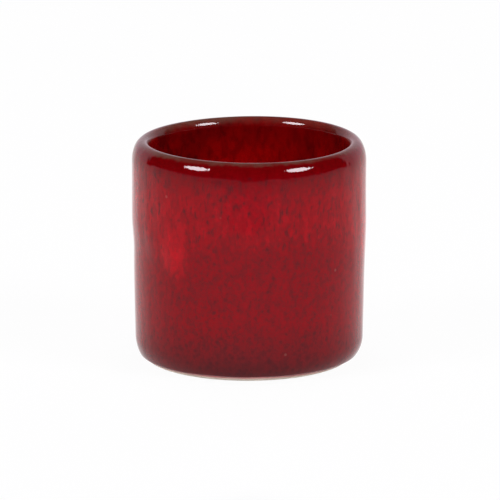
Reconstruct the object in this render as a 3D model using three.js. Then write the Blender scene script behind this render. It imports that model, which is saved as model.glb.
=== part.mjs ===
// A small round stoneware sauce dish: a clay cup with a rolled lip and a bare foot ring, fused under four
// coats of glaze. The liner is poured in, the outer coat covers the wall, a second dip runs down over the
// upper half of it, and the shallow well inside the foot ring has a thin coat of its own.
// Millimetres, +Z up. The origin is the middle of the foot ring, on the table. The front faces -Y.
import * as THREE from 'three';

// Clay cup
const MOUTH_RADIUS = 29.15; // outside of the wall, where the lip starts to roll in
const WALL_TAPER = 0.25; // how much smaller that radius is where the base starts to curve in
const BODY_HEIGHT = 57.4; // table to the crest of the lip
const BASE_WALL = 3.3; // wall just above the inside corner
const MOUTH_WALL = 3.3; // wall just under the lip
const FLOOR = 4.2; // clay between the well and the inside floor
const INSIDE_CORNER = 6.0; // radius between the inside wall and the floor
const LIP_OUTER_DROP = 5.5; // height of the long outer roll of the lip
const LIP_INNER_DROP = 2.2; // height of the short inner roll
const LIP_INNER_REACH = 1.25; // inside wall to the crest of the lip
const CORNER_HEIGHT = 6.6; // height of the curve under the wall
const CORNER_REACH = 4.7; // wall to the outer edge of the foot ring
const FOOT_WIDTH = 4.2; // ring that stands on the table
const WELL_DEPTH = 1.5; // recess inside the foot ring
const WELL_FILLET = 1.8; // reach of the curve from the foot ring to the well's roof

// Glaze coats
const OUTER_COAT = 0.45;
const SECOND_COAT = 0.4;
const LINER_COAT = 0.45;
const CREST_COAT = 0.3; // where the coats thin out and meet on the lip
const WELL_COAT = 0.3;
const GLAZE_LINE = 1.7; // table to the lower edge of the outer coat
const GLAZE_BEAD = 0.6; // height of that edge's rounded bead
const WELL_LINE = 0.6; // table to the edge of the well's coat
const DIP_DEPTH = 24.8; // crest of the lip to the mean lower edge of the second dip
const DIP_FEATHER = 5.5; // height over which that edge swells to the full coat
const DIP_LOBE = 3.2; // how far a broad run hangs below the mean edge
const DIP_LOBES = 3; // broad runs round the dish
const DIP_RIPPLE = 1.0; // how far a short run hangs below the broad ones
const DIP_RIPPLES = 7; // short runs round the dish
const DIP_TURN = THREE.MathUtils.degToRad(-40); // the longest run, measured from the front

// Finishes
const BARE_CLAY = { color: 0xc6b9a6, roughness: 0.9 };
const LINER_RED = { color: 0x66050a, roughness: 0.12 };
const OUTER_RED = { color: 0x742027, roughness: 0.25 };
const DIP_RED = { color: 0x8c1e27, roughness: 0.15 };
const WELL_RED = { color: 0x5f262a, roughness: 0.3 };

// Facets
const SEGMENTS = 60;
const CORNER_STEPS = 5;
const LIP_STEPS = 5;
const SHORT_STEPS = 3; // short curves: bead, bare foot, feathered edge
const INNER_LIP_STEPS = 4;

const QUARTER = Math.PI / 2;
const baseRadius = MOUTH_RADIUS - WALL_TAPER;
const footRadius = baseRadius - CORNER_REACH;
const wellRadius = footRadius - FOOT_WIDTH;
const floorLevel = WELL_DEPTH + FLOOR;
const lipStart = BODY_HEIGHT - LIP_OUTER_DROP;
const crestRadius = MOUTH_RADIUS - MOUTH_WALL + LIP_INNER_REACH;
const insideRadius = baseRadius - BASE_WALL;

const { lerp, smoothstep } = THREE.MathUtils;
const steady = (coat) => () => coat;
const easing = (from, to) => (share) => lerp(from, to, smoothstep(share, 0, 1));
const rounded = (coat) => (share) => coat * Math.sqrt(1 - (1 - share) ** 2);

// A station is a place on the clay in the (radius, height) plane, with the way the clay faces there
// and the thickness of the coat on it.
function station(radius, height, facing, coat) {
  return { at: new THREE.Vector2(radius, height), facing, coat };
}

// Stations along part of an ellipse. The clay faces away from its centre (side 1) or towards it (side -1).
function arc({ centre, reach, rise, from, to, steps, side = 1 }, coatAt) {
  return Array.from({ length: steps + 1 }, (unused, i) => {
    const angle = lerp(from, to, i / steps);
    const facing = new THREE.Vector2(Math.cos(angle) / reach, Math.sin(angle) / rise);
    const radius = centre[0] + reach * Math.cos(angle);
    const height = centre[1] + rise * Math.sin(angle);
    return station(radius, height, facing.normalize().multiplyScalar(side), coatAt(i / steps));
  });
}

// The curve under the wall, from the foot ring up: bare clay, then the glaze bead, then the full coat.
const cornerAngle = (height) => Math.asin((height - CORNER_HEIGHT) / CORNER_HEIGHT);
const corner = { centre: [footRadius, CORNER_HEIGHT], reach: CORNER_REACH, rise: CORNER_HEIGHT };
const glazeAngle = cornerAngle(GLAZE_LINE);
const beadAngle = cornerAngle(GLAZE_LINE + GLAZE_BEAD);
const bareSpan = { from: -QUARTER, to: glazeAngle, steps: SHORT_STEPS };
const beadSpan = { from: glazeAngle, to: beadAngle, steps: SHORT_STEPS };
const glazedSpan = { from: beadAngle, to: 0, steps: CORNER_STEPS };
const bareCorner = arc({ ...corner, ...bareSpan }, steady(0));
const beadCorner = arc({ ...corner, ...beadSpan }, rounded(OUTER_COAT));
const glazedCorner = arc({ ...corner, ...glazedSpan }, steady(OUTER_COAT));

// The lip: a long roll outside and a short one inside, meeting at the crest.
const outerLip = arc({
  centre: [crestRadius, lipStart],
  reach: MOUTH_RADIUS - crestRadius,
  rise: LIP_OUTER_DROP,
  from: 0,
  to: QUARTER,
  steps: LIP_STEPS,
}, easing(OUTER_COAT, CREST_COAT));
const innerLip = arc({
  centre: [crestRadius, BODY_HEIGHT - LIP_INNER_DROP],
  reach: LIP_INNER_REACH,
  rise: LIP_INNER_DROP,
  from: QUARTER,
  to: 2 * QUARTER,
  steps: INNER_LIP_STEPS,
}, easing(CREST_COAT, LINER_COAT));

// The inside corner and floor.
const insideCorner = arc({
  centre: [insideRadius - INSIDE_CORNER, floorLevel + INSIDE_CORNER],
  reach: INSIDE_CORNER,
  rise: INSIDE_CORNER,
  from: 0,
  to: -QUARTER,
  steps: CORNER_STEPS,
  side: -1,
}, steady(LINER_COAT));
const floorCentre = station(0, floorLevel, new THREE.Vector2(0, 1), LINER_COAT);

// The well under the floor: a flat roof and a curved side that is glazed nearly down to the foot ring.
const wellCentre = station(0, WELL_DEPTH, new THREE.Vector2(0, -1), WELL_COAT);
const well = { centre: [wellRadius - WELL_FILLET, 0], reach: WELL_FILLET, rise: WELL_DEPTH, side: -1 };
const wellAngle = Math.asin(WELL_LINE / WELL_DEPTH);
const glazedWellSpan = { from: QUARTER, to: wellAngle, steps: SHORT_STEPS };
const bareWellSpan = { from: wellAngle, to: 0, steps: SHORT_STEPS };
const glazedWell = arc({ ...well, ...glazedWellSpan }, easing(WELL_COAT, 0));
const bareWell = arc({ ...well, ...bareWellSpan }, steady(0));

const places = (stations) => stations.map(({ at }) => at);
const reversed = (stations) => places(stations).reverse();
const coated = ({ at, facing, coat }) => at.clone().addScaledVector(facing, coat);
const surface = (stations) => stations.map(coated);

// A turned solid. profileAt gives the profile at each angle round the dish, counted from the front.
function turned(profileAt) {
  const geometry = new THREE.LatheGeometry(profileAt(0), SEGMENTS);
  const position = geometry.attributes.position;
  const count = position.count / (SEGMENTS + 1);
  for (let i = 0; i < position.count; i += count) {
    const angle = (i / count / SEGMENTS) * 2 * Math.PI;
    profileAt(angle).forEach((point, j) => {
      position.setXYZ(i + j, point.x * Math.sin(angle), point.y, point.x * Math.cos(angle));
    });
  }
  geometry.rotateX(QUARTER);
  geometry.computeVertexNormals();
  return geometry;
}

// The bare cup: well, foot ring, outside, lip, inside and floor in one line from axis to axis.
function stonewareCup() {
  const line = [
    wellCentre, ...glazedWell, ...bareWell.slice(1),
    ...bareCorner, ...beadCorner.slice(1), ...glazedCorner.slice(1),
    ...outerLip, ...innerLip.slice(1), ...insideCorner, floorCentre,
  ];
  return turned(() => places(line));
}

// Poured inside, from the crest of the lip to the middle of the floor.
function linerGlaze() {
  const clay = [...innerLip, ...insideCorner, floorCentre];
  return turned(() => [...reversed(clay), ...surface(clay)]);
}

// Outside, from the bead above the foot ring to the crest of the lip, where it meets the liner.
function outerGlaze() {
  const clay = [...beadCorner, ...glazedCorner.slice(1), ...outerLip];
  return turned(() => [...surface(clay), ...reversed(clay)]);
}

// Over the outer coat: it feathers out at the crest and at a wavy edge half way down the wall.
function secondDipGlaze() {
  const lip = surface(outerLip).map((at, i) => {
    const { facing } = outerLip[i];
    return station(at.x, at.y, facing, easing(SECOND_COAT, 0)(i / LIP_STEPS));
  });
  const wall = (height) => {
    const share = (height - CORNER_HEIGHT) / (lipStart - CORNER_HEIGHT);
    return lerp(baseRadius, MOUTH_RADIUS, share) + OUTER_COAT;
  };
  const level = new THREE.Vector2(1, 0);
  const run = (angle, depth, count) => depth * Math.cos(count * (angle - DIP_TURN));
  const edge = (angle) => {
    const runs = run(angle, DIP_LOBE, DIP_LOBES) + run(angle, DIP_RIPPLE, DIP_RIPPLES);
    return BODY_HEIGHT - DIP_DEPTH - runs;
  };
  const feather = (angle) => Array.from({ length: SHORT_STEPS + 1 }, (unused, i) => {
    const share = i / SHORT_STEPS;
    const height = edge(angle) + DIP_FEATHER * share;
    return station(wall(height), height, level, easing(0, SECOND_COAT)(share));
  });
  return turned((angle) => {
    const under = [...feather(angle), ...lip];
    return [...surface(under), ...reversed(under)];
  });
}

// On the roof of the well, thinning out down its side.
function wellGlaze() {
  const clay = [wellCentre, ...glazedWell];
  return turned(() => [...surface(clay), ...reversed(clay)]);
}

function piece(name, geometry, finish) {
  const material = new THREE.MeshStandardMaterial({ ...finish, metalness: 0 });
  const mesh = new THREE.Mesh(geometry, material);
  mesh.name = name;
  return mesh;
}

const dish = new THREE.Group();
dish.name = 'round_sauce_dish';
dish.add(piece('stoneware_cup', stonewareCup(), BARE_CLAY));
dish.add(piece('liner_glaze', linerGlaze(), LINER_RED));
dish.add(piece('outer_glaze', outerGlaze(), OUTER_RED));
dish.add(piece('second_dip_glaze', secondDipGlaze(), DIP_RED));
dish.add(piece('foot_well_glaze', wellGlaze(), WELL_RED));

export default dish;
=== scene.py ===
"""Looks of a small round sauce dish: a turned stoneware cup under four coats of red glaze.

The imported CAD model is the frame. Each coat and the bare cup is turned here again with a finer line,
with the slight drift of a hand-finished pot, and stands for its CAD node. Lengths are in metres unless
a name or a comment says mm.
"""
import math
from collections import namedtuple

import bpy
import numpy as np
from bpy.props import FloatProperty, FloatVectorProperty, IntProperty, PointerProperty
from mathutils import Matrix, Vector


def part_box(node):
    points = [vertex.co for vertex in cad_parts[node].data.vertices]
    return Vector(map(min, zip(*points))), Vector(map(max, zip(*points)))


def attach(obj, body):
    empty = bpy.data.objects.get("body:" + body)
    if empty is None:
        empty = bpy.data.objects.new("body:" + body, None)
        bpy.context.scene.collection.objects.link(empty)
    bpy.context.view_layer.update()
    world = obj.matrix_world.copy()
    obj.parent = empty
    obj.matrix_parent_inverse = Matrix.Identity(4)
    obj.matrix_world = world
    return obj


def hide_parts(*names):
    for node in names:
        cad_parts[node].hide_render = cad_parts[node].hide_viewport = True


bl_info = {
    "name": "Round sauce dish",
    "version": (1, 0, 0),
    "blender": (4, 5, 0),
    "location": "View3D > Sidebar > Dish",
    "description": "Turns a glazed stoneware sauce dish and sets it on a pale studio floor",
    "category": "Object",
}

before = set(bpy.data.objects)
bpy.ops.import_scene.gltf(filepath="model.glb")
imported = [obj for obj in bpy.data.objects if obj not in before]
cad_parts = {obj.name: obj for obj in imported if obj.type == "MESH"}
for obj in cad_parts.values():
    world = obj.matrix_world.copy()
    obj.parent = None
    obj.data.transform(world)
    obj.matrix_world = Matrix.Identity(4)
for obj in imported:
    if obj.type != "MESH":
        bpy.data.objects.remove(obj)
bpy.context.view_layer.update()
CUP_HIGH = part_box("stoneware_cup")[1]
LINER_LOW, LINER_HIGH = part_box("liner_glaze")
OUTER_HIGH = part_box("outer_glaze")[1]
DIP_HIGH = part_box("second_dip_glaze")[1]
WELL_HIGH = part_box("foot_well_glaze")[1]

MM = 0.001
QUARTER = math.pi / 2
ROUND = 2 * math.pi

# Turning: columns round the dish, and rows along each part of its line
COLUMNS = 360
BEAD_ROWS = 9
CORNER_ROWS = 22
WALL_ROWS = 60
DIP_WALL_ROWS = 30
LIP_ROWS = 30
INNER_LIP_ROWS = 16
POOL_ROWS = 12  # in each half of the inside corner
FLOOR_ROWS = 22
FEATHER_ROWS = 18
WELL_ROWS = 8
RING_ROWS = 8
BARE_ROWS = 16
HIDDEN_STEP = 5  # on a covered face, one row of this many is kept
SHARP_ANGLE = math.radians(50)  # an edge that turns by more than this stays sharp

# Which way a straight part of the line faces, out and up
OUT = (1.0, 0.0)
IN = (-1.0, 0.0)
UP = (0.0, 1.0)
DOWN = (0.0, -1.0)

# Drift of the pot, against the solids
FULL = 0.1 * MM  # how far the wall above the base stands out
FULL_FROM = 6.0 * MM
FULL_OVER = 10.0 * MM
BELLY = 0.16 * MM  # how much further it stands out low down
BELLY_AT = 25.0 * MM
BELLY_SPAN = 8.0 * MM
OVAL = 0.05 * MM  # how far the mouth is out of round
OVAL_TURN = 0.9
RIM_WAVE = 0.14 * MM  # how far the crest rises and falls
RIM_POWER = 6  # how fast that dies away below the crest
RIM_LIMIT = 1.1  # share of the clay's height above which it grows no more
FOOT_SHIFT = -0.3 * MM  # how far the foot is trimmed off centre
FOOT_SPAN = 2.5 * MM

# Drift of the coats, against the solids
OUTER_SWELL = 0.018 * MM
DIP_SWELL = 0.028 * MM
LINER_SWELL = 0.03 * MM
SWELL_FROM = 1.3  # height at which coats start to swell, as a share of the glaze line's
SWELL_RISE = 4.0 * MM  # over what height they start to
SWELL_FALL = 3.0 * MM  # how far under the crest they start to even out
GLAZE_LINE_DRIFT = 0.1 * MM
POOL = 0.6  # share by which the liner is thicker in the inside corner
DIP_FULL = 1.15  # thickness of the second dip on the wall, as a share of its size
DIP_ROLL = 0.12  # share by which it is thicker just above its lower edge
DIP_EDGE_DRIFT = 0.35 * MM
LIP_BULGE = 0.15 * MM  # how much thicker it is on the roll of the lip
LIP_BULGE_POWER = 1.5
EVEN_FEATHER = 2.5 * MM  # how much further down it feathers out all round
LONG_FEATHER = 6.5 * MM  # and how much more at the right
FULL_RISE = 1.0 * MM  # how much higher it reaches its full coat
SIDE_RUN = 3.0 * MM  # a further run of it at the left
SIDE_RUN_AT = math.radians(-88)
SIDE_RUN_WIDTH = math.radians(22)

# Camera
VIEW_HEIGHT = math.radians(13.45)
VIEW_DISTANCE = 2.4
VIEW_AIM = Vector((0.22 * MM, 0, 28.49 * MM))
LENS_MM = 670.8
SENSOR_MM = 36.0

# Lamps
LEFT_LAMP_TURN = math.radians(-58)
RIGHT_LAMP_TURN = math.radians(56)
LAMP_HEIGHT = math.radians(34)
LAMP_DISTANCE = 1.8
LAMP_SIZE = (0.76, 0.6)
LAMP_RADIANCE = 22.5  # what the softboxes light with
SHINE_RADIANCE = 50.0  # what the gloss shows of them
SHINE_DISTANCE = 1.75
REAR_LAMP_TURN = math.radians(155)
REAR_LAMP_HEIGHT = math.radians(12)
REAR_LAMP_RADIANCE = 11.5
LAMP_TINT = (1.0, 0.97, 1.03)
FILL_HEIGHT = 1.6
FILL_SIZE = (0.7, 0.7)
FILL_RADIANCE = 8.0
GLOW_DEPTH = 0.8  # a lamp under the table, which lets its light through to the foot
GLOW_SIZE = (0.5, 0.5)
GLOW_RADIANCE = 2.5

# Floor
FLOOR_REACH = 4.0
FLOOR_LEVEL = -0.02 * MM
FLOOR_STEP = 5  # one column of this many has a corner of the floor
FLOOR_PALE = (0.6, 0.6, 0.605)
FLOOR_PALER = (0.64, 0.64, 0.645)
# Painted shade on the floor ahead of the dish, which the glaze's gloss reflects
FLOOR_SHADE_AHEAD = (0.41, 0.41, 0.415)
FLOOR_FADE_MM = (125.0, 185.0)  # how far ahead of the dish its white starts to fade, and has faded
FLOOR_WEDGE = 0.6  # how fast that darker part narrows towards the dish
FLOOR_FADE = 0.9  # share of its white that fades there
FLOOR_WHITE = 0.95  # share of plain white in what the camera, gloss and glass see of it
WHITE = (1.0, 1.0, 1.0)

# Room, with places as parts of the direction towards them
ROOM_DIM = (0.02, 0.02, 0.021)
ROOM_PALE = (1.0, 0.86, 0.97)
WALL_BACK = (0.49, 0.52)
WALL_TOP = (0.4, 0.75)
WALL_NEARER = 0.08  # how much nearer the wall comes towards the right
RIM_SIDE = (0.1, 0.3)
RIM_BACK = (0.1, 0.5)
RIM_HEIGHT = 0.085
RIM_EDGE = 0.012

# Outside glaze: spans of height over the table, in mm, where something starts or ends
FOOT_SHADE_ENDS = (1.0, 18.0)
SPECKS_THIN = (3.0, 25.0)
QUIET_STARTS = (22.0, 28.0)
TONGUE_ENDS = (32.0, 44.0)
PATCHES_THIN = (44.0, 50.0)
UNDER_LIP_STARTS = (45.0, 49.5)
UNDER_LIP_ENDS = (52.5, 54.5)
ROLL_STARTS = (47.4, 58.0)
RUNS_THIN = (52.5, 55.0)
SHADE_REDDENS = (53.0, 55.0)

# Outside glaze: runs of the second dip
DIP_EDGE = (-3.0, 4.4)  # from below its lower edge to above it
RIGHT_RUN_STARTS = (5.0, 10.0)  # to the right of the middle
RIGHT_RUN_ENDS = (20.0, 26.0)
RIGHT_RUN_MM = 2.4
TONGUE_TIP_MM = 33.0  # height at which the bright tongue starts to close
TONGUE_CLOSING_MM = 5.0
TONGUE_NARROW = 17.0  # the larger, the narrower
TONGUE_SIDE = (0.1, 2.3)  # how far aside of a broad run, as narrowed
QUIET_SIDE = (0.4, 2.4)

# Outside glaze: shares of what goes over its first red
PATCH_SHARE = 0.42
TONGUE_SHARE = 0.78
# The foot's brown is partly painted shade
FOOT_SHARE = 0.84
ROLL_SHARE = 0.82
STRAND_SHARE = 0.15
SMUDGE_SHARE = 0.62
SPECK_SHARE = 0.46
PINHOLE_SHARE = 0.25

BREAK_MM = 1.0  # how far down from the crest the brown reaches

# Outside glaze: relief
SWELL_MM = 0.035
WOBBLE_MM = 0.03
PEEL_MM = 0.012
LIP_PEEL_MM = 0.03  # how much deeper the orange peel is under the lip
MARK_MM = 0.004

GLAZE_IOR = 1.25


def length(name, description, default):
    return FloatProperty(
        name=name, description=description, default=default, min=0.0, unit="LENGTH", precision=5
    )


def count(name, description, default):
    return IntProperty(name=name, description=description, default=default, min=0)


def colour(name, description, default):
    return FloatVectorProperty(
        name=name, description=description, default=default, size=3, min=0.0, max=1.0, subtype="COLOR"
    )


class DishSizes(bpy.types.PropertyGroup):
    """Sizes of the cup and of its coats."""

    mouth_radius: length("Mouth radius", "Outside of the clay where the lip rolls in", CUP_HIGH.x)
    wall_taper: length("Wall taper", "How much smaller that radius is above the base", 0.25 * MM)
    height: length("Height", "Table to the crest of the clay lip", CUP_HIGH.z)
    base_wall: length("Base wall", "Clay wall above the inside corner", 3.3 * MM)
    floor_level: length("Floor level", "Table to the inside floor of the clay", LINER_LOW.z)
    inside_corner: length("Inside corner", "Radius between the inside wall and the floor", 6.0 * MM)
    crest_radius: length("Crest radius", "Axis to the crest of the lip", LINER_HIGH.x)
    lip_drop: length("Lip drop", "Height of the long outer roll of the lip", 5.5 * MM)
    lip_inner_drop: length("Inner lip drop", "Height of the inner roll", 2.2 * MM)
    lip_inner_reach: length("Inner lip reach", "Inside wall to the crest of the lip", 1.25 * MM)
    corner_height: length("Corner height", "Height of the curve under the wall", 6.6 * MM)
    corner_reach: length("Corner reach", "Wall to the outer edge of the foot ring", 4.7 * MM)
    foot_width: length("Foot width", "Ring that stands on the table", 4.2 * MM)
    well_depth: length("Well depth", "Recess inside the foot ring", WELL_HIGH.z)
    well_fillet: length("Well fillet", "Reach of the curve from the ring to the well's roof", 1.8 * MM)
    outer_coat: length("Outer coat", "Thickness of the outer glaze", OUTER_HIGH.x - CUP_HIGH.x)
    second_coat: length("Second coat", "Thickness of the second dip", DIP_HIGH.x - OUTER_HIGH.x)
    liner_coat: length("Liner coat", "Thickness of the liner glaze", 0.45 * MM)
    crest_coat: length("Crest coat", "Thickness of the glaze on the crest", OUTER_HIGH.z - CUP_HIGH.z)
    well_coat: length("Well coat", "Thickness of the glaze in the well", 0.3 * MM)
    glaze_line: length("Glaze line", "Table to the lower edge of the outer glaze", 1.6 * MM)
    glaze_bead: length("Glaze bead", "Height of that edge's rounded bead", 0.6 * MM)
    well_line: length("Well line", "Table to the edge of the well's glaze", 0.6 * MM)
    dip_depth: length("Dip depth", "Crest to the mean lower edge of the second dip", 24.8 * MM)
    dip_feather: length("Dip feather", "Height over which that edge swells", 5.5 * MM)
    broad_run: length("Broad run", "How far a broad run hangs below the mean edge", 3.2 * MM)
    short_run: length("Short run", "How far a short run hangs below the broad ones", 1.0 * MM)
    broad_runs: count("Broad runs", "Broad runs round the dish", 3)
    short_runs: count("Short runs", "Short runs round the dish", 7)
    run_turn: FloatProperty(
        name="Run turn",
        description="Where the longest run is, from the front",
        default=math.radians(-40),
        subtype="ANGLE",
    )


class DishColours(bpy.types.PropertyGroup):
    """Colours of the clay and of the glazes."""

    clay: colour("Clay", "Bare fired stoneware", (0.79, 0.715, 0.585))
    clay_fleck: colour("Clay fleck", "Iron flecks in the clay", (0.2, 0.13, 0.085))
    stain: colour("Stain", "Clay stained by the glaze above it", (0.44, 0.09, 0.09))
    liner: colour("Liner", "Deep red inside", (0.268, 0.0006, 0.001))
    liner_shade: colour("Liner shade", "Darker runs inside", (0.07, 0.0006, 0.001))
    outer: colour("Outer red", "Lower half of the outside", (0.218, 0.0006, 0.004))
    # Outer shade: the foot's brown, partly painted shade there, and the clouds in the well
    outer_shade: colour("Outer shade", "Brown towards the foot", (0.068, 0.0065, 0.008))
    dip: colour("Dip red", "Upper half of the outside", (0.256, 0.0003, 0.004))
    dip_bright: colour("Bright red", "Where the dip is thick", (0.41, 0.0005, 0.006))
    dip_run: colour("Run brown", "Dark runs in the dip", (0.062, 0.0055, 0.0075))
    speck: colour("Speck", "Dark iron specks", (0.04, 0.0055, 0.0075))
    pinhole: colour("Pinhole", "Pale pinholes in the outside", (0.3, 0.1, 0.085))
    lip: colour("Lip red", "Deep red on the roll of the lip", (0.06, 0.0003, 0.0003))
    lip_break: colour("Lip break", "Brown where the glaze thins on the crest", (0.085, 0.03, 0.021))


# Shader recipes

# Sockets of a Mix node for colours: its share, its two colours and their mix
MIX_SHARE = 0
MIX_FIRST = 6
MIX_SECOND = 7
MIX_RESULT = 2


class Wire:
    """A node's output that an expression can use. Arithmetic on it adds Math nodes."""

    def __init__(self, recipe, socket):
        self.recipe = recipe
        self.socket = socket

    def math(self, operation, *others):
        return self.recipe.math(operation, self, *others)

    def __add__(self, other):
        return self.math("ADD", other)

    def __sub__(self, other):
        return self.math("SUBTRACT", other)

    def __rsub__(self, other):
        return self.recipe.math("SUBTRACT", other, self)

    def __mul__(self, other):
        return self.math("MULTIPLY", other)

    def __truediv__(self, other):
        return self.math("DIVIDE", other)

    def __rtruediv__(self, other):
        return self.recipe.math("DIVIDE", other, self)

    def __neg__(self):
        return self.math("MULTIPLY", -1.0)

    __radd__ = __add__
    __rmul__ = __mul__

    def smooth(self, low, high):
        """0 at low, 1 at high, eased between."""
        values = {"Value": self, "From Min": low, "From Max": high}
        return self.recipe.node("ShaderNodeMapRange", values, interpolation_type="SMOOTHSTEP")[0]

    def within(self, start, end):
        """1 between two spans, easing from 0 over the first and back to 0 over the second."""
        return self.smooth(*start) * (1 - self.smooth(*end))

    def swing(self, size):
        """A noise, which lies about 0.5, as a swing of this size about 0."""
        return (self - 0.5) * size

    def mixed(self, share, other):
        """This colour, with a share of another one over it."""
        return self.recipe.blend(share, self, other)


def paint(tint):
    """A linked colour as it is, or red, green and blue as a shader colour."""
    return tint if isinstance(tint, Wire) else (*tint, 1.0)


class Recipe:
    """The nodes of one finish."""

    def __init__(self, tree):
        tree.nodes.clear()
        self.tree = tree

    def node(self, kind, inputs=None, **settings):
        """Adds a node, sets it up, feeds its sockets and gives its outputs."""
        made = self.tree.nodes.new(kind)
        for name, value in settings.items():
            setattr(made, name, value)
        for key, value in (inputs or {}).items():
            if isinstance(value, Wire):
                self.tree.links.new(value.socket, made.inputs[key])
            else:
                made.inputs[key].default_value = value
        return [Wire(self, output) for output in made.outputs]

    def named(self, kind):
        """The outputs, by name, of a node that needs no inputs."""
        return {wire.socket.name: wire for wire in self.node(kind)}

    def math(self, operation, *terms):
        return self.node("ShaderNodeMath", dict(enumerate(terms)), operation=operation)[0]

    def vector(self, operation, *terms):
        return self.node("ShaderNodeVectorMath", dict(enumerate(terms)), operation=operation)[0]

    def split(self, vector):
        return self.node("ShaderNodeSeparateXYZ", {0: vector})

    def place_mm(self):
        """Where a point of the piece is, in mm in the dish's own frame."""
        place = self.named("ShaderNodeTexCoord")["Object"]
        return self.vector("MULTIPLY", place, (1 / MM, 1 / MM, 1 / MM))

    def noise(self, place, scale, detail=2.0, roughness=0.5, warp=0.0, fall=1.0, shift=None):
        """Cloudy noise about 0.5, with scale in features per mm. A small fall draws it out downwards."""
        if fall != 1.0:
            place = self.vector("MULTIPLY", place, (1.0, 1.0, fall))
        if shift:
            place = self.vector("ADD", place, shift)
        values = {"Vector": place, "Scale": scale, "Detail": detail}
        values.update({"Roughness": roughness, "Distortion": warp})
        return self.node("ShaderNodeTexNoise", values, noise_dimensions="3D")[0]

    def dots(self, place, scale, core, edge, kept, ragged=0.0, shift=None):
        """Dots in a kept share of the cells, with scale in cells per mm. They are full out to their core,
        gone at their edge, in shares of a cell, and worn by what is ragged."""
        if shift:
            place = self.vector("ADD", place, shift)
        distance, tint = self.node("ShaderNodeTexVoronoi", {"Vector": place, "Scale": scale})[:2]
        chosen = self.split(tint)[0].math("LESS_THAN", kept)
        return (1 - (distance + ragged).smooth(core, edge)) * chosen

    def blend(self, share, first, second):
        """A colour that goes from first to second."""
        values = {MIX_SHARE: share, MIX_FIRST: paint(first), MIX_SECOND: paint(second)}
        return self.node("ShaderNodeMix", values, data_type="RGBA")[MIX_RESULT]

    def finish(self, base, roughness, relief_mm, **fixed):
        """Closes the recipe: a shader with its bump, on the material output."""
        bump = self.node("ShaderNodeBump", {"Height": relief_mm, "Distance": MM})[0]
        values = {"Base Color": base, "Roughness": roughness, "Normal": bump, **fixed}
        shader = self.node("ShaderNodeBsdfPrincipled", values)[0]
        self.node("ShaderNodeOutputMaterial", {"Surface": shader})


def new_recipe(name):
    material = bpy.data.materials.new(name)
    material.use_nodes = True
    return material, Recipe(material.node_tree)


def placed_recipe(name):
    """A new recipe, with the place and the height of a point in mm."""
    material, recipe = new_recipe(name)
    place = recipe.place_mm()
    return material, recipe, place, recipe.split(place)[2]


def broken_lip(recipe, place, height, sizes, depth):
    """How far the glaze has thinned to brown, unevenly, from this depth in mm up to the crest."""
    crest = sizes.height / MM + sizes.crest_coat / MM
    drift = recipe.noise(place, scale=0.6, detail=3.0, roughness=0.6, fall=0.4)
    patches = recipe.noise(place, scale=0.12, shift=(7.0, 3.0, 11.0))
    thin = (height + drift.swing(1.4)).smooth(crest - depth, crest)
    uneven = 0.45 + patches.smooth(0.38, 0.62) * 0.55
    return thin * uneven


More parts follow.
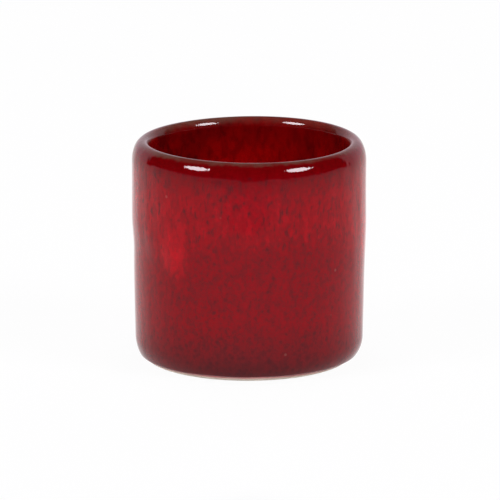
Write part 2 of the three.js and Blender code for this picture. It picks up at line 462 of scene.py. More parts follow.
class OutsideGlaze:
    """The runny red of the outside, layer by layer."""

    def __init__(self, recipe, sizes, colours):
        self.recipe = recipe
        self.sizes = sizes
        self.colours = colours
        self.place = recipe.place_mm()
        self.x, y, self.z = recipe.split(self.place)
        self.turn = self.x.math("ARCTAN2", -y) - sizes.run_turn
        self.broad = (self.turn * sizes.broad_runs).math("COSINE")
        self.aside = (1 - self.broad) * TONGUE_NARROW
        self.ragged = self.noise(scale=0.4, detail=4.0, roughness=0.62, fall=0.5)
        self.marks = self.noise(scale=1.2, detail=1.5, warp=0.25, fall=0.4)
        self.grain = self.noise(scale=1.9, roughness=0.6, fall=0.8, shift=(3.0, 8.0, 21.0))
        self.under_lip = self.z.within(UNDER_LIP_STARTS, UNDER_LIP_ENDS)
        self.dip = self.second_dip()
        self.low = self.foot_brown_and_shade()
        self.specks = self.crowded_specks()

    def noise(self, **kind):
        return self.recipe.noise(self.place, **kind)

    def second_dip(self):
        """How far the second dip covers the outer coat, down to a ragged edge that hangs in runs."""
        sizes = self.sizes
        short = (self.turn * sizes.short_runs).math("COSINE")
        right = self.x.within(RIGHT_RUN_STARTS, RIGHT_RUN_ENDS)
        cloud = self.noise(scale=0.1, detail=3.0, roughness=0.55, fall=0.5)
        edge = (sizes.height - sizes.dip_depth + 0.5 * sizes.dip_feather) / MM
        edge = edge - self.broad * (sizes.broad_run / MM) - short * (sizes.short_run / MM)
        edge = edge - right * RIGHT_RUN_MM
        return (self.z - edge + self.ragged.swing(12.0) + cloud.swing(14.0)).smooth(*DIP_EDGE)

    def foot_brown_and_shade(self):
        """How far the glaze turns brown towards the foot, reaching highest in the middle: partly its own
        brown, partly painted shade.
        """
        height = self.z + self.ragged.swing(7.0) + self.x.math("ABSOLUTE") * 0.1
        return 1 - height.smooth(*FOOT_SHADE_ENDS)

    def crowded_specks(self):
        """Iron specks, crowded at the foot."""
        kept = 0.1 + (1 - self.z.smooth(*SPECKS_THIN)) * 0.75
        return self.recipe.dots(
            self.place, scale=0.66, core=0.1, edge=0.5, kept=kept, ragged=self.grain.swing(0.7)
        )

    def tongue(self):
        """The bright tongue in which each broad run of the dip ends."""
        below = (TONGUE_TIP_MM - self.z + self.ragged.swing(3.0)) / TONGUE_CLOSING_MM
        below = below.math("MAXIMUM", 0.0)
        inside = 1 - (self.aside + below * below + self.ragged.swing(2.4)).smooth(*TONGUE_SIDE)
        return inside * (1 - self.z.smooth(*TONGUE_ENDS))

    def reds(self):
        """The reds of both coats: bright where the dip is thick, dark on the lip, and dark at the foot,
        partly as painted shade.
        """
        colours = self.colours
        patches = self.noise(scale=0.5, warp=0.3, fall=0.5, shift=(2.0, 41.0, 13.0))
        fading = 1 - self.z.smooth(*PATCHES_THIN) * 0.6
        lit = patches.smooth(0.46, 0.66) * self.dip * fading
        bright = lit * PATCH_SHARE + self.tongue() * TONGUE_SHARE
        roll = (self.z + self.ragged.swing(4.0)).smooth(*ROLL_STARTS)
        red = self.recipe.blend(self.dip, colours.outer, colours.dip)
        red = red.mixed(bright.math("MINIMUM", 1.0), colours.dip_bright)
        # Browner towards the foot: the glaze's own brown, and partly painted shade
        red = red.mixed(self.low * FOOT_SHARE, colours.outer_shade)
        return red.mixed(roll * ROLL_SHARE, colours.lip)

    def darkened(self, red):
        """Dark runs in the dip, smudges under the lip, and mottle and grain, fainter on the dip."""
        colours = self.colours
        clusters = self.noise(scale=0.2, detail=3.0, roughness=0.6, fall=0.5, shift=(13.0, 5.0, 2.0))
        strands = self.noise(scale=0.9, warp=0.4, fall=0.12, shift=(31.0, 17.0, 5.0))
        smudges = self.noise(
            scale=0.45, detail=4.0, roughness=0.65, warp=0.3, fall=0.5, shift=(5.0, 23.0, 9.0)
        )
        mottle = self.noise(scale=0.9, warp=0.3, fall=0.7)
        column = (1 - self.aside.smooth(*QUIET_SIDE)) * self.z.smooth(*QUIET_STARTS)
        quiet = 1 - column * 0.6
        shade = self.recipe.blend(self.z.smooth(*SHADE_REDDENS), colours.dip_run, colours.liner_shade)

        runs = (self.marks + clusters.swing(0.3)).smooth(0.52, 0.72) * (0.8 - self.under_lip * 0.16)
        runs = runs + strands.smooth(0.5, 0.68) * STRAND_SHARE
        in_dip = self.dip * 0.75 + 0.1
        fading = 1 - self.z.smooth(*RUNS_THIN) * 0.5
        red = red.mixed(runs * in_dip * fading * quiet, shade)
        red = red.mixed(smudges.smooth(0.5, 0.7) * self.under_lip * SMUDGE_SHARE, shade)
        red = red.mixed(mottle.smooth(0.43, 0.65) * (0.42 - self.dip * 0.2), shade)
        return red.mixed(self.grain.smooth(0.44, 0.68) * (0.36 - self.dip * 0.22) * quiet, shade)

    def spotted(self, red):
        """Specks, a few pale pinholes, and brown where the glaze thins on the lip."""
        colours = self.colours
        pinholes = self.recipe.dots(
            self.place, scale=0.16, core=0.03, edge=0.09, kept=0.5, shift=(4.0, 19.0, 6.0)
        )
        broken = broken_lip(self.recipe, self.place, self.z, self.sizes, BREAK_MM)
        red = red.mixed(self.specks * SPECK_SHARE, colours.speck)
        red = red.mixed(pinholes * PINHOLE_SHARE, colours.pinhole)
        return red.mixed(broken, colours.lip_break)

    def roughness(self):
        """Glossy, and duller on the specks and towards the foot."""
        return 0.04 + self.specks * 0.05 + self.low * 0.07

    def relief_mm(self):
        """Swells, wobbles, orange peel and the marks' own edges."""
        swell = self.noise(scale=0.42, fall=0.6)
        wobble = self.noise(scale=0.8, detail=1.0, shift=(6.0, 2.0, 15.0))
        peel = self.noise(scale=1.5)
        peel_mm = PEEL_MM + self.under_lip * LIP_PEEL_MM
        return swell * SWELL_MM + wobble * WOBBLE_MM + peel * peel_mm + self.marks * MARK_MM


def outside_finish(name, sizes, colours):
    """Runny red on the outside. Both outside coats use it, so their colours meet without a seam."""
    material, recipe = new_recipe(name)
    glaze = OutsideGlaze(recipe, sizes, colours)
    red = glaze.spotted(glaze.darkened(glaze.reds()))
    recipe.finish(red, glaze.roughness(), glaze.relief_mm(), IOR=GLAZE_IOR)
    return material


def liner_finish(name, sizes, colours):
    """Deep red with short falling marks, darker towards the lip."""
    material, recipe, place, z = placed_recipe(name)
    marks = recipe.noise(place, scale=0.6, detail=2.5, roughness=0.55, warp=0.3, fall=0.5)
    cloud = recipe.noise(place, scale=0.1, detail=3.0, roughness=0.55)
    grain = recipe.noise(place, scale=2.0, roughness=0.6)
    specks = recipe.dots(place, scale=0.7, core=0.1, edge=0.28, kept=0.3)
    shade = marks.smooth(0.43, 0.68) * 0.48 + cloud.smooth(0.4, 0.62) * 0.64
    under_lip = (z + marks.swing(6.0)).smooth(44.0, 56.0)
    broken = broken_lip(recipe, place, z, sizes, depth=2.2)
    red = recipe.blend(shade, colours.liner, colours.liner_shade)
    red = red.mixed(grain.smooth(0.42, 0.7) * 0.33, colours.liner_shade)
    red = red.mixed(specks * 0.3, colours.speck)
    red = red.mixed(under_lip * 0.6, colours.liner_shade)
    red = red.mixed(broken, colours.lip_break)
    roughness = 0.07 + specks * 0.06
    swell = recipe.noise(place, scale=0.42, fall=0.6)
    peel = recipe.noise(place, scale=1.5)
    relief_mm = swell * 0.03 + peel * 0.014
    recipe.finish(red, roughness, relief_mm, IOR=GLAZE_IOR)
    return material


def well_finish(name, sizes, colours):
    """Thin dark coat under the foot, breaking to brown at its edge."""
    material, recipe, place, z = placed_recipe(name)
    line = sizes.well_line / MM
    cloud = recipe.noise(place, scale=0.16, detail=4.0, roughness=0.6)
    specks = recipe.dots(place, scale=0.8, core=0.1, edge=0.3, kept=0.5)
    thin = 1 - z.smooth(line, line + 0.5)
    red = recipe.blend(cloud.smooth(0.35, 0.65), colours.outer, colours.outer_shade)
    red = red.mixed(specks * 0.7, colours.speck)
    red = red.mixed(thin * 0.8, colours.lip_break)
    roughness = 0.14 + cloud * 0.12
    swell = recipe.noise(place, scale=0.5, detail=3.0)
    relief_mm = swell * 0.04 - specks * 0.01
    recipe.finish(red, roughness, relief_mm, IOR=GLAZE_IOR)
    return material


def clay_finish(name, sizes, colours):
    """Bare stoneware: fine grog, iron flecks, tiny pits and a red stain under the glaze line."""
    material, recipe, place, z = placed_recipe(name)
    line = sizes.glaze_line / MM
    cloud = recipe.noise(place, scale=0.25, detail=4.0, roughness=0.6)
    grog = recipe.noise(place, scale=3.2, detail=3.0, roughness=0.7)
    flecks = recipe.dots(place, scale=0.9, core=0.1, edge=0.24, kept=0.3)
    pits = recipe.dots(place, scale=1.6, core=0.08, edge=0.2, kept=0.35, shift=(9.0, 4.0, 2.0))
    stain = (z + cloud.swing(0.4)).smooth(line - 0.95, line - 0.1)
    pale = recipe.blend(cloud.smooth(0.3, 0.7) * 0.1, colours.clay, colours.clay_fleck)
    pale = pale.mixed(grog.smooth(0.55, 0.75) * 0.2, colours.clay_fleck)
    pale = pale.mixed(flecks * 0.5, colours.clay_fleck)
    pale = pale.mixed(stain * 0.95, colours.stain)
    roughness = 0.82 + grog * 0.12
    relief_mm = grog * 0.05 - pits * 0.08 + cloud * 0.06
    recipe.finish(pale, roughness, relief_mm)
    return material


# Turning

# Part of a turned line, with a value for each row and column: its place, the way it faces and its coat
Strip = namedtuple("Strip", "radius height out up coat")


def eased(share):
    share = np.clip(share, 0.0, 1.0)
    return share * share * (3.0 - 2.0 * share)


def steady(coat):
    return lambda share: coat + 0.0 * share


def easing(start, stop):
    return lambda share: start + (stop - start) * eased(share)


def rounded(coat):
    return lambda share: coat * np.sqrt(1.0 - (1.0 - share) ** 2)


def shares(rows):
    """From 0 on the first row to 1 on the last."""
    return np.linspace(0.0, 1.0, rows)[:, None]


def turns():
    """The angle of each column from the front, towards +X."""
    return np.linspace(0.0, ROUND, COLUMNS, endpoint=False)


def all_round(values, rows):
    return np.broadcast_to(np.asarray(values, float), (rows, COLUMNS)).copy()


def arc(centre, reach, start, stop, rows, coat_at=steady(0.0), hollow=False):
    """Rows along part of an ellipse. The face looks away from its centre, or towards it if hollow."""
    share = shares(rows)
    angle = all_round(start + (stop - start) * share, rows)
    out = np.cos(angle) / reach[0]
    up = np.sin(angle) / reach[1]
    size = (-1.0 if hollow else 1.0) / np.hypot(out, up)
    radius = centre[0] + reach[0] * np.cos(angle)
    height = centre[1] + reach[1] * np.sin(angle)
    return Strip(radius, height, out * size, up * size, all_round(coat_at(share), rows))


def straight(first, last, rows, facing, coat_at=steady(0.0)):
    """Rows along a straight line. Its ends may differ from column to column."""
    share = shares(rows)
    radius = all_round(first[0] + (last[0] - first[0]) * share, rows)
    height = all_round(first[1] + (last[1] - first[1]) * share, rows)
    out = all_round(facing[0], rows)
    up = all_round(facing[1], rows)
    return Strip(radius, height, out, up, all_round(coat_at(share), rows))


def rows_of(strip, kept):
    return Strip(*(part[kept] for part in strip))


def stacked(*strips):
    return Strip(*(np.vstack(parts) for parts in zip(*strips)))


def joined(first, *others):
    """One strip from strips that each start on the last row of the one before."""
    return stacked(first, *(rows_of(other, slice(1, None)) for other in others))


def coated(strip, thickness):
    radius = strip.radius + strip.out * thickness
    height = strip.height + strip.up * thickness
    return strip._replace(radius=radius, height=height)


def covered(strip):
    """The same strip backwards with fewer rows, for the face that a neighbour hides."""
    rows = len(strip.radius)
    kept = sorted({*range(0, rows, HIDDEN_STEP), rows - 1}, reverse=True)
    return rows_of(strip, kept)


def waves(height, seed, orders, lean=0.0):
    """A smooth drift round the dish and up it, between about -1 and 1, the same at every run."""
    draw = np.random.default_rng(seed)
    total = np.zeros_like(height)
    for order in orders:
        phase = draw.uniform(0.0, ROUND)
        slope = draw.uniform(-lean, lean)
        total += np.cos(order * turns() + slope * height / MM + phase)
    return total / math.sqrt(2.0 * len(orders))


def level_waves(seed, orders):
    """The same drift round the dish alone."""
    return waves(np.zeros((1, COLUMNS)), seed, orders)[0]


class Pot:
    """The line of the clay from the middle of the well to the middle of the inside floor."""

    def __init__(self, sizes):
        self.sizes = sizes
        self.base_radius = sizes.mouth_radius - sizes.wall_taper
        self.foot_radius = self.base_radius - sizes.corner_reach
        self.well_radius = self.foot_radius - sizes.foot_width
        self.lip_start = sizes.height - sizes.lip_drop
        self.inside_radius = self.base_radius - sizes.base_wall
        self.mouth_inside = sizes.crest_radius - sizes.lip_inner_reach

    def corner(self, low, high, rows, coat_at=steady(0.0)):
        """Part of the curve under the wall, between two heights."""
        sizes = self.sizes
        start = np.arcsin(low / sizes.corner_height - 1.0)
        stop = np.arcsin(high / sizes.corner_height - 1.0)
        centre = (self.foot_radius, sizes.corner_height)
        return arc(centre, (sizes.corner_reach, sizes.corner_height), start, stop, rows, coat_at)

    def glaze_line(self):
        """Height of the outer glaze's lower edge, which drifts a little round the foot."""
        return self.sizes.glaze_line + GLAZE_LINE_DRIFT * level_waves(seed=3, orders=(2, 3, 5, 8, 13))

    def wall_radius(self, height):
        sizes = self.sizes
        share = (height - sizes.corner_height) / (self.lip_start - sizes.corner_height)
        return self.base_radius + sizes.wall_taper * share

    def wall(self, low, rows, coat_at):
        top = (self.sizes.mouth_radius, self.lip_start)
        return straight((self.wall_radius(low), low), top, rows, OUT, coat_at)

    def outer_lip(self):
        sizes = self.sizes
        centre = (sizes.crest_radius, self.lip_start)
        reach = (sizes.mouth_radius - sizes.crest_radius, sizes.lip_drop)
        return arc(centre, reach, 0.0, QUARTER, LIP_ROWS, easing(sizes.outer_coat, sizes.crest_coat))

    def outside(self):
        """What the outer glaze covers: bead, curve, wall and the outer roll of the lip."""
        sizes = self.sizes
        line = self.glaze_line()
        bead_top = line + sizes.glaze_bead
        return joined(
            self.corner(line, bead_top, BEAD_ROWS, rounded(sizes.outer_coat)),
            self.corner(bead_top, sizes.corner_height, CORNER_ROWS, steady(sizes.outer_coat)),
            self.wall(sizes.corner_height, WALL_ROWS, steady(sizes.outer_coat)),
            self.outer_lip(),
        )

    def inside(self):
        """What the liner covers: the inner roll of the lip, the wall, the corner and the floor."""
        sizes = self.sizes
        coat = sizes.liner_coat
        pooled = coat * (1.0 + POOL)
        roll_at = (sizes.crest_radius, sizes.height - sizes.lip_inner_drop)
        roll_reach = (sizes.lip_inner_reach, sizes.lip_inner_drop)
        thinning = easing(sizes.crest_coat, coat)
        wall_top = (self.mouth_inside, sizes.height - sizes.lip_inner_drop)
        wall_foot = (self.inside_radius, sizes.floor_level + sizes.inside_corner)
        corner_at = (self.inside_radius - sizes.inside_corner, sizes.floor_level + sizes.inside_corner)
        corner_reach = (sizes.inside_corner, sizes.inside_corner)
        half_way = -QUARTER / 2
        floor_edge = (corner_at[0], sizes.floor_level)
        floor_middle = (0.0, sizes.floor_level)
        return joined(
            arc(roll_at, roll_reach, QUARTER, 2 * QUARTER, INNER_LIP_ROWS, thinning),
            straight(wall_top, wall_foot, WALL_ROWS, IN, steady(coat)),
            arc(corner_at, corner_reach, 0.0, half_way, POOL_ROWS, easing(coat, pooled), hollow=True),
            arc(corner_at, corner_reach, half_way, -QUARTER, POOL_ROWS, steady(pooled), hollow=True),
            straight(floor_edge, floor_middle, FLOOR_ROWS, UP, easing(pooled, coat)),
        )

    def well_side(self, high, low, coat_at=steady(0.0)):
        sizes = self.sizes
        centre = (self.well_radius - sizes.well_fillet, 0.0)
        reach = (sizes.well_fillet, sizes.well_depth)
        start = math.asin(high / sizes.well_depth)
        stop = math.asin(low / sizes.well_depth)
        return arc(centre, reach, start, stop, WELL_ROWS, coat_at, hollow=True)

    def well(self):
        """What the thin coat underneath covers: the roof of the well and most of its side."""
        sizes = self.sizes
        roof_middle = (0.0, sizes.well_depth)
        roof_edge = (self.well_radius - sizes.well_fillet, sizes.well_depth)
        return joined(
            straight(roof_middle, roof_edge, FLOOR_ROWS, DOWN, steady(sizes.well_coat)),
            self.well_side(sizes.well_depth, sizes.well_line, easing(sizes.well_coat, 0.0)),
        )

    def foot(self):
        """The bare ring: the low side of the well, the flat on the table and the bare curve."""
        return joined(
            self.well_side(self.sizes.well_line, 0.0),
            straight((self.well_radius, 0.0), (self.foot_radius, 0.0), RING_ROWS, DOWN),
            self.corner(0.0, self.glaze_line(), BARE_ROWS),
        )

    def dip_edge(self):
        """Height of the second dip's lower edge in each column."""
        sizes = self.sizes
        turn = turns() - sizes.run_turn
        broad = sizes.broad_run * np.cos(sizes.broad_runs * turn)
        short = sizes.short_run * np.cos(sizes.short_runs * turn)
        aside = np.angle(np.exp(1j * (turns() - SIDE_RUN_AT)))
        runs = broad + short + SIDE_RUN * np.exp(-((aside / SIDE_RUN_WIDTH) ** 2))
        drift = DIP_EDGE_DRIFT * level_waves(seed=11, orders=range(9, 31, 3))
        return sizes.height - sizes.dip_depth - runs + drift

    def dip_shoulder(self):
        """Height at which the second dip reaches its full coat in each column."""
        return self.dip_edge() + self.sizes.dip_feather + FULL_RISE

    def dipped(self):
        """What the second dip covers: the outer glaze, from a feathered edge to the crest."""
        sizes = self.sizes
        shoulder = self.dip_shoulder()
        to_right = eased(0.5 + 0.5 * np.sin(turns()))
        edge = self.dip_edge() - EVEN_FEATHER - LONG_FEATHER * to_right
        low = (self.wall_radius(edge), edge)
        high = (self.wall_radius(shoulder), shoulder)
        feather = straight(low, high, FEATHER_ROWS, OUT, easing(0.0, sizes.second_coat))
        wall = joined(feather, self.wall(shoulder, DIP_WALL_ROWS, steady(sizes.second_coat)))
        under_wall = wall._replace(coat=np.full_like(wall.coat, sizes.outer_coat))
        share = shares(LIP_ROWS)
        bulge = LIP_BULGE * np.sin(math.pi * share) ** LIP_BULGE_POWER
        thinning = all_round(easing(sizes.second_coat, 0.0)(share) + bulge, LIP_ROWS)
        return joined(
            self.outer_surface(under_wall)._replace(coat=wall.coat),
            self.outer_surface(self.outer_lip())._replace(coat=thinning),
        )

    def fade(self, height):
        """1 on the wall, easing to 0 at the glaze line and at the crest, where coats meet."""
        sizes = self.sizes
        low = eased((height - SWELL_FROM * sizes.glaze_line) / SWELL_RISE)
        return low * eased((sizes.height - height) / SWELL_FALL)

    def outer_surface(self, strip):
        """The face of the outer glaze, which swells a little."""
        drift = waves(strip.height, seed=5, orders=(5, 7, 9, 12, 15, 19, 24, 31, 38), lean=0.25)
        return coated(strip, strip.coat + OUTER_SWELL * drift * self.fade(strip.height))


def settle(radius, height, sizes):
    """The drift that the whole pot shares: a slight belly, an oval mouth and a rim that waves."""
    share = height / sizes.height
    full = FULL * eased((height - FULL_FROM) / FULL_OVER)
    belly = BELLY * np.exp(-(((height - BELLY_AT) / BELLY_SPAN) ** 2))
    oval = OVAL * share * np.cos(2 * turns() + OVAL_TURN)
    reach = np.clip(radius / sizes.foot_width, 0.0, 1.0)
    wave = RIM_WAVE * np.clip(share, 0.0, RIM_LIMIT) ** RIM_POWER * np.sin(-2 * turns())
    return radius + (full + belly + oval) * reach, height + wave


def close_ends(points, faces, grid, strip):
    """Closes a line from axis to axis with a fan of faces at each end."""
    first = len(points)
    last = first + 1
    points.append([0.0, 0.0, float(strip.height[0, 0])])
    points.append([0.0, 0.0, float(strip.height[-1, 0])])
    for column in range(COLUMNS):
        following = (column + 1) % COLUMNS
        faces.append([first, int(grid[0, following]), int(grid[0, column])])
        faces.append([last, int(grid[-1, column]), int(grid[-1, following])])


def turned_mesh(name, strip, sizes, loop):
    """A closed mesh of a turned line. A loop closes on itself, and any other line runs axis to axis."""
    radius, height = settle(strip.radius, strip.height, sizes)
    if not loop:
        radius, height = radius[1:-1], height[1:-1]
    aside = FOOT_SHIFT * np.exp(-((height / FOOT_SPAN) ** 2)) * eased(radius / sizes.foot_width)
    places = [radius * np.sin(turns()) + aside, -radius * np.cos(turns()), height]
    points = np.stack(places, axis=-1).reshape(-1, 3).tolist()
    grid = np.arange(radius.size).reshape(radius.shape)
    below = grid if loop else grid[:-1]
    above = np.roll(grid, -1, axis=0) if loop else grid[1:]
    corners = [below, np.roll(below, -1, axis=1), np.roll(above, -1, axis=1), above]
    faces = np.stack(corners, axis=-1).reshape(-1, 4).tolist()
    if not loop:
        close_ends(points, faces, grid, strip)
    mesh = bpy.data.meshes.new(name)
    mesh.from_pydata(points, [], faces)
    if mesh.validate():
        raise RuntimeError(f"{name}: the turned mesh has bad faces")
    mesh.shade_smooth()
    mesh.set_sharp_from_angle(angle=SHARP_ANGLE)
    return mesh


def turned(scene, name, strip, finish, node, slot=None, loop=False):
    """A turned piece that stands for a CAD node. Its slot has the node's name unless one is given."""
    slot = slot or node
    mesh = turned_mesh(name, strip, scene.dish_sizes, loop)
    mesh.materials.append(finish(slot, scene.dish_sizes, scene.dish_colours))
    piece = bpy.data.objects.new(name, mesh)
    scene.collection.objects.link(piece)
    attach(piece, "root")
    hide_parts(node)


# Operators


class DISH_OT_turn_cup(bpy.types.Operator):
    """Turns the bare stoneware cup, which shows at the foot ring"""

    bl_idname = "dish.turn_cup"
    bl_label = "Stoneware cup"
    bl_options = {"REGISTER", "UNDO"}

    def execute(self, context):
        scene = context.scene
        pot = Pot(scene.dish_sizes)
        inside = rows_of(covered(pot.inside()), slice(None, None, -1))
        line = joined(pot.well(), pot.foot(), pot.outside(), inside)
        turned(scene, "bare_stoneware_cup", line, clay_finish, "stoneware_cup", "bare_stoneware")
        return {"FINISHED"}


class DISH_OT_pour_liner(bpy.types.Operator):
    """Pours the deep red liner, from the crest of the lip to the floor"""

    bl_idname = "dish.pour_liner"
    bl_label = "Liner glaze"
    bl_options = {"REGISTER", "UNDO"}

    def execute(self, context):
        scene = context.scene
        pot = Pot(scene.dish_sizes)
        clay = pot.inside()
        drift = waves(clay.height, seed=8, orders=(4, 6, 9, 11, 14, 18, 23, 29), lean=0.2)
        reach = eased(clay.radius / pot.inside_radius)
        glaze = coated(clay, clay.coat + LINER_SWELL * drift * pot.fade(clay.height) * reach)
        line = stacked(covered(clay), glaze)
        turned(scene, "poured_liner_glaze", line, liner_finish, "liner_glaze")
        return {"FINISHED"}


class DISH_OT_coat_outside(bpy.types.Operator):
    """Coats the outside, from the bead above the foot ring to the crest of the lip"""

    bl_idname = "dish.coat_outside"
    bl_label = "Outer glaze"
    bl_options = {"REGISTER", "UNDO"}

    def execute(self, context):
        scene = context.scene
        pot = Pot(scene.dish_sizes)
        clay = pot.outside()
        line = stacked(pot.outer_surface(clay), rows_of(covered(clay), slice(None, -1)))
        turned(scene, "outside_glaze", line, outside_finish, "outer_glaze", loop=True)
        return {"FINISHED"}


class DISH_OT_dip_again(bpy.types.Operator):
    """Dips the upper half a second time: runs feather out below, and the coat thins over the lip"""

    bl_idname = "dish.dip_again"
    bl_label = "Second dip"
    bl_options = {"REGISTER", "UNDO"}

    def execute(self, context):
        scene = context.scene
        sizes = scene.dish_sizes
        pot = Pot(sizes)
        base = pot.dipped()
        drift = waves(base.height, seed=17, orders=(6, 8, 11, 14, 18, 22, 27, 33, 41), lean=0.22)
        roll = DIP_ROLL * np.exp(-(((base.height - pot.dip_shoulder()) / sizes.dip_feather) ** 2))
        share = base.coat / sizes.second_coat
        glaze = coated(base, base.coat * (DIP_FULL + roll) + DIP_SWELL * drift * share)
        line = stacked(glaze, rows_of(covered(base), slice(1, -1)))
        turned(scene, "second_dip", line, outside_finish, "second_dip_glaze", loop=True)
        return {"FINISHED"}


class DISH_OT_coat_well(bpy.types.Operator):
    """Coats the well under the dish"""

    bl_idname = "dish.coat_well"
    bl_label = "Foot well glaze"
    bl_options = {"REGISTER", "UNDO"}

    def execute(self, context):
        scene = context.scene
        clay = Pot(scene.dish_sizes).well()
        line = stacked(coated(clay, clay.coat), rows_of(covered(clay), slice(1, None)))
        turned(scene, "well_glaze", line, well_finish, "foot_well_glaze")
        return {"FINISHED"}


class DISH_OT_set_stage(bpy.types.Operator):
    """Sets the pale floor, the soft lamps, the room and the camera"""

    bl_idname = "dish.set_stage"
    bl_label = "Studio"
    bl_options = {"REGISTER", "UNDO"}

    def execute(self, context):
        scene = context.scene
        lay_floor(scene)
        hang_lamps(scene)
        furnish_room(scene)
        place_camera(scene)
        scene.view_settings.view_transform = "Standard"
        return {"FINISHED"}


def floor_finish(name):
    """Pale, whitest round the dish, whose shadow it keeps, with painted shade ahead of the dish that the
    glaze reflects. Sight and light pass through from below.
    """
    material, recipe = new_recipe(name)
    place = recipe.place_mm()
    x, y = recipe.split(place)[:2]
    grain = recipe.noise(place, scale=0.02, detail=3.0)
    # Painted shade ahead of the dish: the floor darkens there and its white fades
    ahead = (-y - x.math("ABSOLUTE") * FLOOR_WEDGE).smooth(*FLOOR_FADE_MM)
    pale = recipe.blend(grain, FLOOR_PALE, FLOOR_PALER).mixed(ahead, FLOOR_SHADE_AHEAD)
    matt = recipe.node("ShaderNodeBsdfDiffuse", {"Color": pale})[0]
    white = recipe.node("ShaderNodeEmission", {"Color": paint(WHITE), "Strength": 1.0})[0]
    clear = recipe.node("ShaderNodeBsdfTransparent")[0]
    rays = recipe.named("ShaderNodeLightPath")
    seen = rays["Is Camera Ray"] + rays["Is Glossy Ray"] + rays["Is Transmission Ray"]
    share = seen.math("MINIMUM", 1.0) * (1 - ahead * FLOOR_FADE) * FLOOR_WHITE
    top = recipe.node("ShaderNodeMixShader", {0: share, 1: matt, 2: white})[0]
    below = recipe.named("ShaderNodeNewGeometry")["Backfacing"]
    through = below.math("MAXIMUM", rays["Is Shadow Ray"])
    whole = recipe.node("ShaderNodeMixShader", {0: through, 1: top, 2: clear})[0]
    recipe.node("ShaderNodeOutputMaterial", {"Surface": whole})
    return material


def lay_floor(scene):
    """A round table top just under the foot ring."""
    corners = turns()[::FLOOR_STEP]
    ring = [(FLOOR_REACH * math.cos(turn), FLOOR_REACH * math.sin(turn), FLOOR_LEVEL) for turn in corners]
    mesh = bpy.data.meshes.new("studio_floor")
    mesh.from_pydata(ring, [], [list(range(len(ring)))])
    mesh.materials.append(floor_finish("pale_floor"))
    floor = bpy.data.objects.new("studio_floor", mesh)
    scene.collection.objects.link(floor)


def direction(turn, rise):
    """A direction by its turn from the front, towards +X, and its height above level."""
    level = math.cos(rise)
    return Vector((math.sin(turn) * level, -math.cos(turn) * level, math.sin(rise)))


def hang_lamp(scene, name, place, size, radiance, shines=False):
    """A soft oval lamp that looks at the dish. It lights it unseen, or only shines in its gloss."""
    lamp = bpy.data.lights.new(name, "AREA")
    lamp.shape = "ELLIPSE"
    lamp.size, lamp.size_y = size
    lamp.color = LAMP_TINT
    lamp.energy = radiance * math.pi * (math.pi / 4) * size[0] * size[1]
    hung = bpy.data.objects.new(name, lamp)
    middle = Vector((0, 0, 0.5 * CUP_HIGH.z))
    hung.location = middle + place
    hung.rotation_euler = (-place).to_track_quat("-Z", "Y").to_euler()
    hung.visible_camera = False
    hung.visible_glossy = shines
    hung.visible_diffuse = not shines
    scene.collection.objects.link(hung)


def hang_lamps(scene):
    """Two softboxes in front, each with its shine, two behind, one overhead and one under the table."""
    for turn, side in ((LEFT_LAMP_TURN, "left"), (RIGHT_LAMP_TURN, "right")):
        toward = direction(turn, LAMP_HEIGHT)
        hang_lamp(scene, side + "_softbox", toward * LAMP_DISTANCE, LAMP_SIZE, LAMP_RADIANCE)
        hang_lamp(scene, side + "_shine", toward * SHINE_DISTANCE, LAMP_SIZE, SHINE_RADIANCE, shines=True)
    for turn, side in ((-REAR_LAMP_TURN, "left"), (REAR_LAMP_TURN, "right")):
        place = direction(turn, REAR_LAMP_HEIGHT) * LAMP_DISTANCE
        hang_lamp(scene, side + "_rear_softbox", place, LAMP_SIZE, REAR_LAMP_RADIANCE)
    hang_lamp(scene, "overhead_fill", Vector((0, 0, FILL_HEIGHT)), FILL_SIZE, FILL_RADIANCE)
    hang_lamp(scene, "table_glow", Vector((0, 0, -GLOW_DEPTH)), GLOW_SIZE, GLOW_RADIANCE)


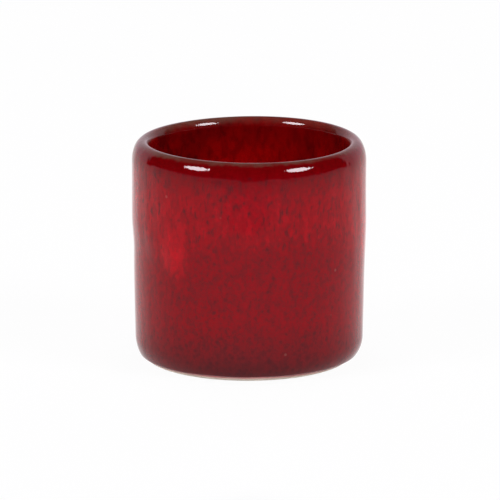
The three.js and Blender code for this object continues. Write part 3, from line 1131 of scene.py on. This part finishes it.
def furnish_room(scene):
    """A dim room with a pale wall behind the dish and a low pale rim round it, open at the camera."""
    room = bpy.data.worlds.new("studio_room")
    room.use_nodes = True
    recipe = Recipe(room.node_tree)
    toward = recipe.named("ShaderNodeTexCoord")["Generated"]
    across, back, rise = recipe.split(toward)
    beside = back + across.math("MAXIMUM", 0.0) * WALL_NEARER
    wall = beside.smooth(*WALL_BACK) * (1 - rise.smooth(*WALL_TOP))
    sides = across.math("ABSOLUTE").smooth(*RIM_SIDE)
    rim_top = sides * (RIM_HEIGHT - back.smooth(*RIM_BACK) * RIM_HEIGHT)
    rim = (rim_top - rise).smooth(0.0, RIM_EDGE)
    light = recipe.blend(wall.math("MAXIMUM", rim), ROOM_DIM, ROOM_PALE)
    sky = recipe.node("ShaderNodeBackground", {"Color": light, "Strength": 1.0})[0]
    recipe.node("ShaderNodeOutputWorld", {"Surface": sky})
    scene.world = room


def place_camera(scene):
    """The camera at the photograph's height and distance, in front of the dish."""
    camera = bpy.data.cameras.new("camera")
    camera.sensor_width = SENSOR_MM
    camera.lens = LENS_MM
    stand = bpy.data.objects.new("camera", camera)
    away = direction(0.0, VIEW_HEIGHT)
    stand.location = VIEW_AIM + away * VIEW_DISTANCE
    stand.rotation_euler = (-away).to_track_quat("-Z", "Y").to_euler()
    scene.collection.objects.link(stand)
    scene.camera = stand


class DISH_PT_panel(bpy.types.Panel):
    """Lists the dish's pieces, sizes and colours"""

    bl_idname = "DISH_PT_panel"
    bl_label = "Round sauce dish"
    bl_space_type = "VIEW_3D"
    bl_region_type = "UI"
    bl_category = "Dish"

    def draw(self, context):
        column = self.layout.column()
        for operator in STEPS:
            column.operator(operator.bl_idname)
        for group in (context.scene.dish_sizes, context.scene.dish_colours):
            box = self.layout.box()
            for name in group.__annotations__:
                box.prop(group, name)


STEPS = (
    DISH_OT_turn_cup,
    DISH_OT_pour_liner,
    DISH_OT_coat_outside,
    DISH_OT_dip_again,
    DISH_OT_coat_well,
    DISH_OT_set_stage,
)
CLASSES = (DishSizes, DishColours, *STEPS, DISH_PT_panel)


def register():
    for made in CLASSES:
        bpy.utils.register_class(made)
    bpy.types.Scene.dish_sizes = PointerProperty(type=DishSizes)
    bpy.types.Scene.dish_colours = PointerProperty(type=DishColours)


def unregister():
    del bpy.types.Scene.dish_colours
    del bpy.types.Scene.dish_sizes
    for made in reversed(CLASSES):
        bpy.utils.unregister_class(made)


def main():
    register()
    bpy.ops.dish.turn_cup()
    bpy.ops.dish.pour_liner()
    bpy.ops.dish.coat_outside()
    bpy.ops.dish.dip_again()
    bpy.ops.dish.coat_well()
    bpy.ops.dish.set_stage()


if __name__ == "__main__":
    main()
